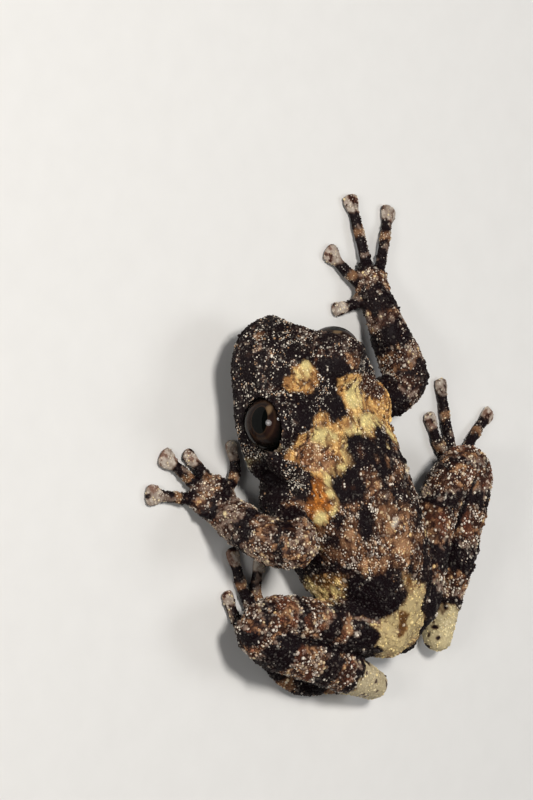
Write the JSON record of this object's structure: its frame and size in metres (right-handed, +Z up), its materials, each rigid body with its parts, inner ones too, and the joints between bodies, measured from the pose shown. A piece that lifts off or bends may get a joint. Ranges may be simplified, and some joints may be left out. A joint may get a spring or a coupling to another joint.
{
  "type": "tree frog",
  "caption": "Small warty moss-type tree frog crouching with folded legs and spread padded fingers, modelled still at life size.",
  "frame": {"origin": "middle of the frog's outer box, on the floor it rests on", "axes": "+Z up, the snout towards -Y, the frog's left towards +X"},
  "size_m": [0.0382, 0.0368, 0.0088],
  "materials": {
    "head": "damp warty skin, satin",
    "torso": "damp warty skin, satin",
    "eye_left": "wet and glossy",
    "upper_arm_left": "damp warty skin, satin",
    "forearm_left": "damp warty skin, satin",
    "hand_left": "damp warty skin, satin",
    "thigh_left": "damp warty skin, satin",
    "shank_left": "damp warty skin, satin",
    "tarsus_left": "damp warty skin, satin",
    "foot_left": "damp warty skin, satin",
    "eye_right": "wet and glossy",
    "upper_arm_right": "damp warty skin, satin",
    "forearm_right": "damp warty skin, satin",
    "hand_right": "damp warty skin, satin",
    "thigh_right": "damp warty skin, satin",
    "shank_right": "damp warty skin, satin",
    "tarsus_right": "damp warty skin, satin",
    "foot_right": "damp warty skin, satin",
    "finger_1_left": "damp warty skin, satin",
    "finger_2_left": "damp warty skin, satin",
    "finger_3_left": "damp warty skin, satin",
    "finger_4_left": "damp warty skin, satin",
    "finger_1_right": "damp warty skin, satin",
    "finger_2_right": "damp warty skin, satin",
    "finger_3_right": "damp warty skin, satin",
    "finger_4_right": "damp warty skin, satin",
    "toe_1_left": "damp warty skin, satin",
    "toe_2_left": "damp warty skin, satin",
    "toe_3_left": "damp warty skin, satin",
    "toe_4_left": "damp warty skin, satin",
    "toe_5_left": "damp warty skin, satin",
    "toe_1_right": "damp warty skin, satin",
    "toe_2_right": "damp warty skin, satin",
    "toe_3_right": "damp warty skin, satin",
    "toe_4_right": "damp warty skin, satin",
    "toe_5_right": "damp warty skin, satin"
  },
  "bodies": {
    "root": {"head": "head", "torso": "torso", "eye_left": "eye_left", "upper_arm_left": "upper_arm_left", "forearm_left": "forearm_left", "hand_left": "hand_left", "thigh_left": "thigh_left", "shank_left": "shank_left", "tarsus_left": "tarsus_left", "foot_left": "foot_left", "eye_right": "eye_right", "upper_arm_right": "upper_arm_right", "forearm_right": "forearm_right", "hand_right": "hand_right", "thigh_right": "thigh_right", "shank_right": "shank_right", "tarsus_right": "tarsus_right", "foot_right": "foot_right", "finger_1_left": "finger_1_left", "finger_2_left": "finger_2_left", "finger_3_left": "finger_3_left", "finger_4_left": "finger_4_left", "finger_1_right": "finger_1_right", "finger_2_right": "finger_2_right", "finger_3_right": "finger_3_right", "finger_4_right": "finger_4_right", "toe_1_left": "toe_1_left", "toe_2_left": "toe_2_left", "toe_3_left": "toe_3_left", "toe_4_left": "toe_4_left", "toe_5_left": "toe_5_left", "toe_1_right": "toe_1_right", "toe_2_right": "toe_2_right", "toe_3_right": "toe_3_right", "toe_4_right": "toe_4_right", "toe_5_right": "toe_5_right"}
  },
  "joints": []
}
